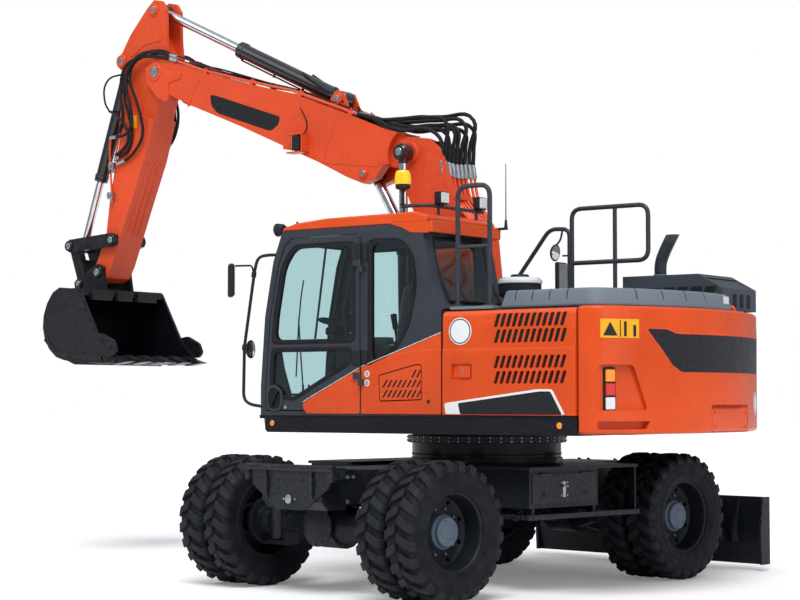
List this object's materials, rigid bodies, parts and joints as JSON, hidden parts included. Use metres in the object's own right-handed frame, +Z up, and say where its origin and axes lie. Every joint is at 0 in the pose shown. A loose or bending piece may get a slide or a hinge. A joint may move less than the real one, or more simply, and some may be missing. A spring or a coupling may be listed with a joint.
{
  "type": "wheeled excavator",
  "caption": "Wheeled excavator on twin tyres with a slewing cab and engine house, a two-piece boom with arm and bucket on hydraulic cylinders, and a rear dozer blade.",
  "frame": {"origin": "middle of the footprint of the whole machine, on the ground", "axes": "+X along the boom from the upper structure's rear to its front, +Y towards the cab side, +Z up; the undercarriage is turned by 81.4 degrees about the slewing axis"},
  "size_m": [6.928, 4.7054, 5.197],
  "materials": {
    "orange_paint": "semi-gloss orange paint",
    "charcoal_paint": "satin charcoal paint",
    "navy_paint": "satin blue-black paint",
    "rim_paint": "satin blue-black paint",
    "cylinder_paint": "satin blue-black paint",
    "grey_moulding": "matt dark grey",
    "chrome_rod": "hard chrome",
    "cast_iron": "painted casting",
    "tyre": "black rubber",
    "seat_fabric": "dark woven cover",
    "black_plastic": "matt black"
  },
  "bodies": {
    "chassis": {"chassis_frame": "navy_paint", "slew_ring": "navy_paint", "front_axle": "navy_paint", "rear_axle": "navy_paint", "drive_line": "navy_paint", "toolbox_left": "navy_paint", "toolbox_right": "navy_paint"},
    "steer_left": {"knuckle_left": "navy_paint"},
    "steer_right": {"knuckle_right": "navy_paint"},
    "wheel_fl": {"tyres_fl": "tyre", "rim_fl": "rim_paint"},
    "wheel_fr": {"tyres_fr": "tyre", "rim_fr": "rim_paint"},
    "wheel_rl": {"tyres_rl": "tyre", "rim_rl": "rim_paint"},
    "wheel_rr": {"tyres_rr": "tyre", "rim_rr": "rim_paint"},
    "blade": {"dozer_blade": "navy_paint"},
    "blade_barrel_l": {"blade_barrel_l": "cylinder_paint"},
    "blade_rod_l": {"blade_rod_l": "chrome_rod"},
    "blade_barrel_r": {"blade_barrel_r": "cylinder_paint"},
    "blade_rod_r": {"blade_rod_r": "chrome_rod"},
    "upper": {"upper_frame": "navy_paint", "counterweight": "orange_paint", "tank_right": "orange_paint", "engine_block": "cast_iron", "top_cover": "grey_moulding", "exhaust_cover": "grey_moulding", "exhaust_pipe": "charcoal_paint", "rail_left": "charcoal_paint", "rail_rear": "charcoal_paint", "rail_right": "charcoal_paint", "cab_shell": "charcoal_paint", "cab_roof": "orange_paint", "operator_seat": "seat_fabric", "steering_column": "black_plastic"},
    "cab_door": {"cab_door": "charcoal_paint"},
    "side_door_left": {"side_door_left": "orange_paint"},
    "side_door_right": {"side_door_right": "orange_paint"},
    "hood": {"engine_hood": "grey_moulding"},
    "lower_boom": {"lower_boom": "orange_paint"},
    "upper_boom": {"upper_boom": "orange_paint"},
    "arm": {"arm": "orange_paint"},
    "bucket": {"bucket": "navy_paint"},
    "guide_link": {"guide_link": "navy_paint"},
    "bucket_link": {"bucket_link": "navy_paint"},
    "lift_barrel_left": {"lift_barrel_left": "cylinder_paint"},
    "lift_rod_left": {"lift_rod_left": "chrome_rod"},
    "lift_barrel_right": {"lift_barrel_right": "cylinder_paint"},
    "lift_rod_right": {"lift_rod_right": "chrome_rod"},
    "adjust_barrel": {"adjust_barrel": "cylinder_paint"},
    "adjust_rod": {"adjust_rod": "chrome_rod"},
    "arm_barrel": {"arm_barrel": "cylinder_paint"},
    "arm_rod": {"arm_rod": "chrome_rod"},
    "bucket_barrel": {"bucket_barrel": "cylinder_paint"},
    "bucket_rod": {"bucket_rod": "chrome_rod"}
  },
  "joints": [
    {"name": "slew", "type": "hinge", "parent": "chassis", "child": "upper", "pos_m": [-1.288, -0.00881, 1.17], "axis": [0, 0, 1], "continuous": true},
    {"name": "steer_left", "type": "hinge", "parent": "chassis", "child": "steer_left", "pos_m": [-1.66809, 1.75789, 0.509], "axis": [0, 0, 1], "range_deg": [-30, 30]},
    {"name": "steer_right", "type": "hinge", "parent": "chassis", "child": "steer_right", "pos_m": [-0.40248, 1.56649, 0.509], "axis": [0, 0, 1], "range_deg": [-30, 30]},
    {"name": "wheel_fl_spin", "type": "hinge", "parent": "steer_left", "child": "wheel_fl", "pos_m": [-2.02009, 1.81113, 0.509], "axis": [-0.9888, 0.1495, 0], "continuous": true},
    {"name": "wheel_fr_spin", "type": "hinge", "parent": "steer_right", "child": "wheel_fr", "pos_m": [-0.05048, 1.51325, 0.509], "axis": [-0.9888, 0.1495, 0], "continuous": true},
    {"name": "wheel_rl_spin", "type": "hinge", "parent": "chassis", "child": "wheel_rl", "pos_m": [-2.42383, -0.85852, 0.509], "axis": [-0.9888, 0.1495, 0], "continuous": true},
    {"name": "wheel_rr_spin", "type": "hinge", "parent": "chassis", "child": "wheel_rr", "pos_m": [-0.45423, -1.15639, 0.509], "axis": [-0.9888, 0.1495, 0], "continuous": true},
    {"name": "blade_lift", "type": "hinge", "parent": "chassis", "child": "blade", "pos_m": [-1.50931, -1.47217, 0.43], "axis": [-0.9888, 0.1495, 0], "range_deg": [-10, 22]},
    {"name": "blade_barrel_l_pivot", "type": "hinge", "parent": "chassis", "child": "blade_barrel_l", "pos_m": [-1.71932, -1.52334, 0.855], "axis": [0.9888, -0.1495, 0], "range_deg": [-15, 7]},
    {"name": "blade_rod_l_slide", "type": "slide", "parent": "blade_barrel_l", "child": "blade_rod_l", "axis": [-0.1092, -0.7218, -0.6834], "range_m": [-0.1507, 0.07123]},
    {"name": "blade_barrel_r_pivot", "type": "hinge", "parent": "chassis", "child": "blade_barrel_r", "pos_m": [-1.32382, -1.58315, 0.855], "axis": [0.9888, -0.1495, 0], "range_deg": [-15, 7]},
    {"name": "blade_rod_r_slide", "type": "slide", "parent": "blade_barrel_r", "child": "blade_rod_r", "axis": [-0.1092, -0.7218, -0.6834], "range_m": [-0.1507, 0.07123]},
    {"name": "cab_door", "type": "hinge", "parent": "upper", "child": "cab_door", "pos_m": [-0.953, 1.26319, 2], "axis": [0, 0, 1], "range_deg": [0, 160]},
    {"name": "side_door_left", "type": "hinge", "parent": "upper", "child": "side_door_left", "pos_m": [-2.883, 1.22919, 1.7], "axis": [0, 0, 1], "range_deg": [0, 100]},
    {"name": "side_door_right", "type": "hinge", "parent": "upper", "child": "side_door_right", "pos_m": [-2.883, -1.24681, 1.7], "axis": [0, 0, -1], "range_deg": [0, 100]},
    {"name": "hood_lift", "type": "hinge", "parent": "upper", "child": "hood", "pos_m": [-2.184, 0.45619, 2.268], "axis": [0, 1, 0], "range_deg": [0, 50]},
    {"name": "boom_lift", "type": "hinge", "parent": "upper", "child": "lower_boom", "pos_m": [-1.248, -0.00881, 1.82], "axis": [0, -1, 0], "range_deg": [-45, 12]},
    {"name": "lift_barrel_left_pivot", "type": "hinge", "parent": "upper", "child": "lift_barrel_left", "pos_m": [-0.648, 0.23119, 1.42], "axis": [0, -1, 0], "range_deg": [-41, 12]},
    {"name": "lift_rod_left_slide", "type": "slide", "parent": "lift_barrel_left", "child": "lift_rod_left", "axis": [0.0172, 0, 0.9999], "range_m": [-0.52334, 0.14322]},
    {"name": "lift_barrel_right_pivot", "type": "hinge", "parent": "upper", "child": "lift_barrel_right", "pos_m": [-0.648, -0.24881, 1.42], "axis": [0, -1, 0], "range_deg": [-41, 12]},
    {"name": "lift_rod_right_slide", "type": "slide", "parent": "lift_barrel_right", "child": "lift_rod_right", "axis": [0.0172, 0, 0.9999], "range_m": [-0.52334, 0.14322]},
    {"name": "boom_adjust", "type": "hinge", "parent": "lower_boom", "child": "upper_boom", "pos_m": [-0.612, -0.00881, 3.514], "axis": [0, -1, 0], "range_deg": [-25, 35]},
    {"name": "adjust_barrel_pivot", "type": "hinge", "parent": "lower_boom", "child": "adjust_barrel", "pos_m": [-0.858, -0.00881, 2.16], "axis": [0, -1, 0], "range_deg": [-4, 5]},
    {"name": "adjust_rod_slide", "type": "slide", "parent": "adjust_barrel", "child": "adjust_rod", "axis": [0.5073, 0, 0.8618], "range_m": [-0.20049, 0.27869]},
    {"name": "arm_swing", "type": "hinge", "parent": "upper_boom", "child": "arm", "pos_m": [2.314, -0.00881, 4.501], "axis": [0, 1, 0], "range_deg": [-50, 44]},
    {"name": "arm_barrel_pivot", "type": "hinge", "parent": "upper_boom", "child": "arm_barrel", "pos_m": [0.206, -0.00881, 4.062], "axis": [0, -1, 0], "range_deg": [-6, 7]},
    {"name": "arm_rod_slide", "type": "slide", "parent": "arm_barrel", "child": "arm_rod", "axis": [0.9018, 0, 0.4322], "range_m": [-0.43935, 0.38723]},
    {"name": "bucket_curl", "type": "hinge", "parent": "arm", "child": "bucket", "pos_m": [3.023, -0.00881, 2.657], "axis": [0, -1, 0], "range_deg": [-45, 85]},
    {"name": "guide_link_pivot", "type": "hinge", "parent": "arm", "child": "guide_link", "pos_m": [2.838, -0.00881, 2.957], "axis": [0, -1, 0], "range_deg": [-23, 42]},
    {"name": "bucket_link_pivot", "type": "hinge", "parent": "guide_link", "child": "bucket_link", "pos_m": [3.402, -0.00881, 2.923], "axis": [0, -1, 0], "range_deg": [-33, 18]},
    {"name": "bucket_barrel_pivot", "type": "hinge", "parent": "arm", "child": "bucket_barrel", "pos_m": [2.797, -0.00881, 4.66], "axis": [0, -1, 0], "range_deg": [-3, 4]},
    {"name": "bucket_rod_slide", "type": "slide", "parent": "bucket_barrel", "child": "bucket_rod", "axis": [0.3289, 0, -0.9444], "range_m": [-0.38577, 0.20658]}
  ],
  "couplings": [
    {"joint": "steer_right", "follows": "steer_left", "ratio": 1},
    {"joint": "blade_barrel_l_pivot", "follows": "blade_lift", "ratio": -0.63298},
    {"joint": "blade_rod_l_slide", "follows": "blade_lift", "m_per_rad": -0.37945},
    {"joint": "blade_barrel_r_pivot", "follows": "blade_lift", "ratio": -0.63298},
    {"joint": "blade_rod_r_slide", "follows": "blade_lift", "m_per_rad": -0.37945},
    {"joint": "lift_barrel_left_pivot", "follows": "boom_lift", "ratio": 0.88691},
    {"joint": "lift_rod_left_slide", "follows": "boom_lift", "m_per_rad": 0.65998},
    {"joint": "lift_barrel_right_pivot", "follows": "boom_lift", "ratio": 0.88691},
    {"joint": "lift_rod_right_slide", "follows": "boom_lift", "m_per_rad": 0.65998},
    {"joint": "adjust_barrel_pivot", "follows": "boom_adjust", "ratio": 0.10526},
    {"joint": "adjust_rod_slide", "follows": "boom_adjust", "m_per_rad": 0.44804},
    {"joint": "arm_barrel_pivot", "follows": "arm_swing", "ratio": -0.11807},
    {"joint": "arm_rod_slide", "follows": "arm_swing", "m_per_rad": 0.49773},
    {"joint": "guide_link_pivot", "follows": "bucket_curl", "ratio": 0.48191},
    {"joint": "bucket_link_pivot", "follows": "bucket_curl", "ratio": -0.37899},
    {"joint": "bucket_barrel_pivot", "follows": "bucket_curl", "ratio": 0.036005},
    {"joint": "bucket_rod_slide", "follows": "bucket_curl", "m_per_rad": -0.25666}
  ]
}
